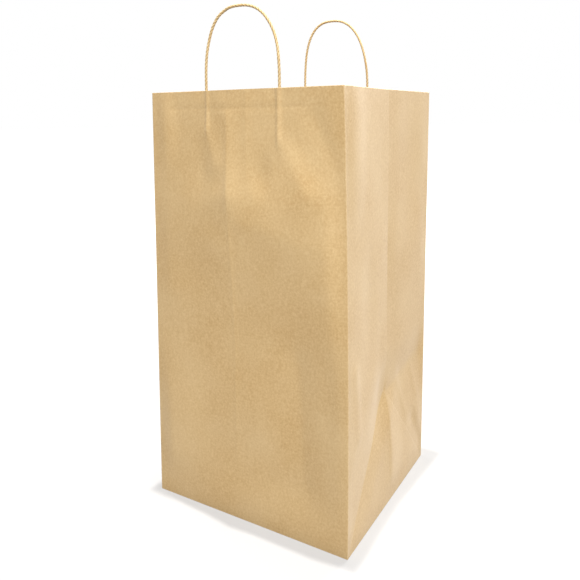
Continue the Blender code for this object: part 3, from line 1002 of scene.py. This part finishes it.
def twist_tree():
    """The lobed profile swept along the twisted path, with closed ends and a material."""
    tree = bpy.data.node_groups.new("twist a cord along a path", "GeometryNodeTree")
    for name, kind in (
        ("Path", "NodeSocketGeometry"),
        ("Thickness", "NodeSocketFloat"),
        ("Turn Length", "NodeSocketFloat"),
        ("Strands", "NodeSocketFloat"),
        ("Groove", "NodeSocketFloat"),
        ("Step", "NodeSocketFloat"),
        ("Material", "NodeSocketMaterial"),
    ):
        tree.interface.new_socket(name, in_out="INPUT", socket_type=kind)
    tree.interface.new_socket("Cord", in_out="OUTPUT", socket_type="NodeSocketGeometry")
    given = add(tree, "NodeGroupInput").outputs
    swept = add(
        tree,
        "GeometryNodeCurveToMesh",
        {"Fill Caps": True},
        {"Curve": twisted_path(tree, given), "Profile Curve": lobed_profile(tree, given)},
    ).outputs[0]
    smooth = add(tree, "GeometryNodeSetShadeSmooth", (), {"Geometry": swept}).outputs[0]
    real = add(tree, "GeometryNodeRealizeInstances", (), {"Geometry": smooth}).outputs[0]
    dressed = add(
        tree,
        "GeometryNodeSetMaterial",
        (),
        {"Geometry": real, "Material": given["Material"]},
    ).outputs[0]
    add(tree, "NodeGroupOutput", (), {"Cord": dressed})
    return tree


cord_tree = twist_tree()
print("cord tree has", len(cord_tree.nodes), "nodes")

# %% [markdown]
# The path of each handle starts at the cord's cut end between the patches, rises straight past
# the rim, and bends to a round arch. The tree's inputs are set by their identifiers before the
# object is first evaluated, and the result is kept as a plain mesh.

# %% Path of a handle
ARCH_STEPS = 60
LEG_STEPS = 24


def handle_path(side):
    """The cord's middle line: a straight leg, a superellipse arch and the other leg."""
    arch = RISE[side] - HANDLE_STRAIGHT
    leg_length = HEIGHT + HANDLE_STRAIGHT - CORD_END
    power = 2 / HANDLE_SQUARENESS
    outline = [(LEG_X, CORD_END + leg_length * i / LEG_STEPS) for i in range(LEG_STEPS)]
    for step in range(ARCH_STEPS + 1):
        angle = math.pi * step / ARCH_STEPS
        x = LEG_X * math.copysign(abs(math.cos(angle)) ** power, math.cos(angle))
        outline.append((x, HEIGHT + HANDLE_STRAIGHT + arch * math.sin(angle) ** power))
    outline += [(-x, z) for x, z in reversed(outline[:LEG_STEPS])]
    path = []
    for x, z in outline:
        above_rim = max(0.0, (z - HEIGHT) / RISE[side])
        path.append(wall_point(side, x + SHIFT[side] + SWAY[side] * above_rim**2, z, CORD_IN))
    return path


arch_top = max(place.z for place in handle_path(-1))
print(f"the front handle's middle line rises to {arch_top:.3f} m")

# %% Make the cords
TWIST = {
    "Thickness": CORD,
    "Turn Length": 13.5 * MM,
    "Strands": 3.0,
    "Groove": 0.18,  # depth of the pinch between strands, as a share of the radius
    "Step": 0.7 * MM,
    "Material": cord_paper,
}


def plain_mesh(source, name):
    """The evaluated result of an object with modifiers, as a new object with none."""
    graph = bpy.context.evaluated_depsgraph_get()
    mesh = bpy.data.meshes.new_from_object(source.evaluated_get(graph), depsgraph=graph)
    mesh.name = name
    bpy.data.objects.remove(source, do_unlink=True)
    return new_object(name, mesh)


def make_cord(name, side):
    """One handle as a plain mesh, with its length printed."""
    curve = bpy.data.curves.new(f"{name}_path", "CURVE")
    curve.dimensions = "3D"
    path = handle_path(side)
    spline = curve.splines.new("POLY")
    spline.points.add(len(path) - 1)
    for point, place in zip(spline.points, path):
        point.co = (*place, 1.0)
    guide = new_object(f"{name}_path", curve)
    twist = guide.modifiers.new("twist", "NODES")
    twist.node_group = cord_tree
    for item in cord_tree.interface.items_tree:
        if item.name in TWIST:
            twist[item.identifier] = TWIST[item.name]
    length = sum((b - a).length for a, b in zip(path, path[1:]))
    cord = plain_mesh(guide, name)
    print(f"{name}: {length:.3f} m of cord, {len(cord.data.polygons)} faces")
    return cord


front_cord = make_cord("front_cord", -1)
rear_cord = make_cord("rear_cord", 1)

# %% [markdown]
# ## Handle patches
# Each cord's legs are glued between two strips of paper, and the strips to the panel. The
# cover strip is pressed down over the legs, so it shows two rounded ridges that end in a short
# slope past the cord's end.

# %% Height of a cover over its backing
RIDGE_SPREAD = 1.35  # how wide the cover stands off beside a leg, in cord thicknesses
RIDGE_RAMP = 6 * MM  # slope of the cover past the cord's cut end


def cover_lift(x, z):
    """Height of the cover over its backing, round over each leg."""
    from_leg = abs(abs(x) - LEG_X)
    over = min(1.0, max(0.0, RIDGE_SPREAD - from_leg / (RIDGE_SPREAD * CORD)))
    past = ease(z, CORD_END - RIDGE_RAMP, CORD_END - CLEARANCE, 0.0, 1.0)
    return COVER_RISE * over * over * (3 - 2 * over) * past


def no_lift(x, z):
    """The backing lies flat on the panel."""
    return 0.0


print(f"over a leg the cover rises {cover_lift(LEG_X, PATCH_TOP) / MM:.1f} mm")

# %% Patch strips
PATCH_CELL = 2.5 * MM
PATCH_NEAREST = 0.45 * MM  # columns any nearer than this become one
NEAR_LEG = 6  # millimetres to each side of a leg that have a column each


def make_patch(name, side, inward, lift):
    """A paper strip inside a panel: a grid of points, given its thickness by Solidify."""
    columns = even(-PATCH_WIDTH / 2, PATCH_WIDTH / 2, PATCH_CELL)
    steps = range(-NEAR_LEG, NEAR_LEG + 1)
    near_legs = [sign * (LEG_X + step * MM) for sign in (-1, 1) for step in steps]
    columns = merged(columns + near_legs, PATCH_NEAREST)
    levels = even(PATCH_FOOT, PATCH_TOP, PATCH_CELL)
    places = [
        wall_point(side, x + SHIFT[side], z, inward + lift(x, z)) for z in levels for x in columns
    ]
    count = len(columns)
    quads = []
    for j in range(len(levels) - 1):
        for i in range(count - 1):
            a = j * count + i
            quads.append((a, a + 1, a + 1 + count, a + count))
    if side > 0:
        quads = [quad[::-1] for quad in quads]
    mesh = bpy.data.meshes.new(name)
    mesh.from_pydata(places, [], quads)
    mesh.attributes.new("from_fold_mm", "FLOAT", "POINT").data.foreach_set(
        "value", [FOLD_SEEN] * len(places)
    )
    mesh.polygons.foreach_set("use_smooth", [True] * len(quads))
    mesh.materials.append(kraft_patch)
    mesh.materials.append(kraft_edge)
    patch = new_object(name, mesh)
    strip = patch.modifiers.new("paper", "SOLIDIFY")
    strip.thickness = PAPER
    strip.offset = -1.0
    strip.material_offset_rim = 1
    return patch


patches = {}
for wall, side in (("front", -1), ("rear", 1)):
    backing = make_patch(f"{wall}_backing_strip", side, BACKING_IN, no_lift)
    patches[f"{wall}_patch_backing"] = backing
    cover = make_patch(f"{wall}_cover_strip", side, COVER_IN, cover_lift)
    patches[f"{wall}_patch_cover"] = cover
print("patch strips:", ", ".join(patch.name for patch in patches.values()))

# %% [markdown]
# ## Riding on the frame
# The bag is one rigid body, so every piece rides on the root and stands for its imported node.

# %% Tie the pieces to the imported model
pieces = [
    (folded_sheet, "bag_body", "kraft_paper"),
    (front_cord, "front_handle", "paper_cord"),
    (rear_cord, "rear_handle", "paper_cord"),
    *((patch, node, "patch_paper") for node, patch in patches.items()),
]
for piece, node, finish in pieces:
    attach(piece, "root")
    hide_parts(node)
print(len(pieces), "pieces ride on the root")

# %% [markdown]
# ## Studio
# The photograph has a pale floor and a white background, and light from several sides. The
# background is white only to the camera and to reflections, so it adds no light of its own.
# The floor is matt, so that it keeps the bag's shadow, and it has a glow that only the camera
# and reflections see. The glow grows with distance, so that the floor runs into the background.

# %% Light that only the camera and reflections see
def seen_by_camera(tree):
    """1 for camera, glossy and transmission rays, 0 for the rays that light the object."""
    rays = add(tree, "ShaderNodeLightPath").outputs
    seen = rays["Is Camera Ray"]
    for kind in ("Is Glossy Ray", "Is Transmission Ray"):
        seen = add(
            tree,
            "ShaderNodeMath",
            (),
            {"Value": seen, "Value_001": rays[kind]},
            operation="MAXIMUM",
        ).outputs[0]
    return seen


print("the background shows to camera, glossy and transmission rays")

# %% Floor
FLOOR_GLOW = 0.46  # beside the bag, where full white would wash out the shadow
GLOW_BEGIN = 0.35  # metres from the bag's middle
GLOW_FULL = 1.6
FLOOR_RADIUS = 40.0
FLOOR_DROP = 0.05 * MM  # keeps the floor from flickering through the bag's bottom


def floor_paint():
    """Matt grey that keeps a shadow, under a white glow for the camera."""
    material, tree = new_material("pale studio floor")
    matt = add(tree, "ShaderNodeBsdfDiffuse", {"Color": paint("#908E8C")}).outputs[0]
    place = add(tree, "ShaderNodeTexCoord").outputs["Object"]
    distance = add(
        tree, "ShaderNodeVectorMath", (), {"Vector": place}, operation="LENGTH"
    ).outputs["Value"]
    far_glow = add(
        tree,
        "ShaderNodeMapRange",
        {"From Min": GLOW_BEGIN, "From Max": GLOW_FULL, "To Min": FLOOR_GLOW, "To Max": 1.0},
        {"Value": distance},
    ).outputs[0]
    strength = add(
        tree,
        "ShaderNodeMath",
        (),
        {"Value": seen_by_camera(tree), "Value_001": far_glow},
        operation="MULTIPLY",
    ).outputs[0]
    glow = add(
        tree, "ShaderNodeEmission", {"Color": paint("#FFFFFF")}, {"Strength": strength}
    ).outputs[0]
    both = add(tree, "ShaderNodeAddShader", (), {0: matt, 1: glow}).outputs[0]
    add(tree, "ShaderNodeOutputMaterial", (), {"Surface": both})
    return material


floor_material = floor_paint()
floor_mesh = bpy.data.meshes.new("floor")
floor_bm = bmesh.new()
bmesh.ops.create_circle(floor_bm, cap_ends=True, segments=96, radius=FLOOR_RADIUS)
bmesh.ops.translate(floor_bm, vec=(0, 0, -FLOOR_DROP), verts=floor_bm.verts)
floor_bm.to_mesh(floor_mesh)
floor_bm.free()
floor_mesh.materials.append(floor_material)
floor = new_object("floor", floor_mesh)
floor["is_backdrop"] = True
print(f"floor glow {FLOOR_GLOW} beside the bag, full white {GLOW_FULL} m away")

# %% Sky
AMBIENT = 0.15  # what the sky adds to the object, where 1 is white
world = bpy.data.worlds.new("studio")
bpy.context.scene.world = world
world.use_nodes = True
sky_tree = world.node_tree
sky_tree.nodes.clear()
sky_strength = add(
    sky_tree,
    "ShaderNodeMapRange",
    {"To Min": AMBIENT, "To Max": 1.0},
    {"Value": seen_by_camera(sky_tree)},
).outputs[0]
sky = add(
    sky_tree, "ShaderNodeBackground", {"Color": (1, 1, 1, 1)}, {"Strength": sky_strength}
).outputs[0]
add(sky_tree, "ShaderNodeOutputWorld", (), {"Surface": sky})
print("sky lights the object at", AMBIENT)

# %% [markdown]
# ## Lamps
# The key lamp is broad and stands behind the bag, a little to the right. It only grazes the
# right gusset, so that its two halves differ in tone as they do in the photograph. The front
# panel gets a plain light from the front lamp, and a small right lamp rakes over it, so that
# folds and lines show. The left lamp lifts the shade on the left gusset. A very small lamp
# straight overhead draws the short dark shadow where the bag meets the floor.

# %% Set the lamps
def soft_lamp(name, turn, tilt, distance, size, level):
    """A square lamp aimed at the bag's middle, from a turn (from +X to +Y) and tilt in degrees.

    level is how bright it makes a white card that faces it, where 1 is white.
    """
    data = bpy.data.lights.new(name, "AREA")
    data.shape = "SQUARE"
    data.size = size
    data.energy = level * (math.pi * distance) ** 2
    lamp = new_object(name, data)
    turn, tilt = math.radians(turn), math.radians(tilt)
    flat = math.cos(tilt)
    away = Vector((flat * math.cos(turn), flat * math.sin(turn), math.sin(tilt)))
    lamp.location = Vector((0, 0, HEIGHT / 2)) + away * distance
    lamp.rotation_euler = (-away).to_track_quat("-Z", "Y").to_euler()
    return lamp


lamps = [
    soft_lamp("key lamp", turn=80, tilt=27, distance=3.2, size=1.1, level=1.15),
    soft_lamp("right lamp", turn=-10, tilt=35, distance=3.2, size=0.5, level=0.26),
    soft_lamp("front lamp", turn=-62, tilt=40, distance=3.2, size=0.7, level=0.82),
    soft_lamp("left lamp", turn=165, tilt=25, distance=3.2, size=0.9, level=0.35),
    soft_lamp("top lamp", turn=135, tilt=88.6, distance=3.0, size=0.06, level=1.3),
]
bpy.context.scene.view_settings.view_transform = "Standard"
print("lamps set:", ", ".join(lamp.name for lamp in lamps))

# %% Measure and finish
seen_box = [list(corner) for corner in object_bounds()]
spans = [high - low for low, high in zip(*seen_box)]
print("the dressed bag measures", " x ".join(f"{span:.3f}" for span in spans), "m")
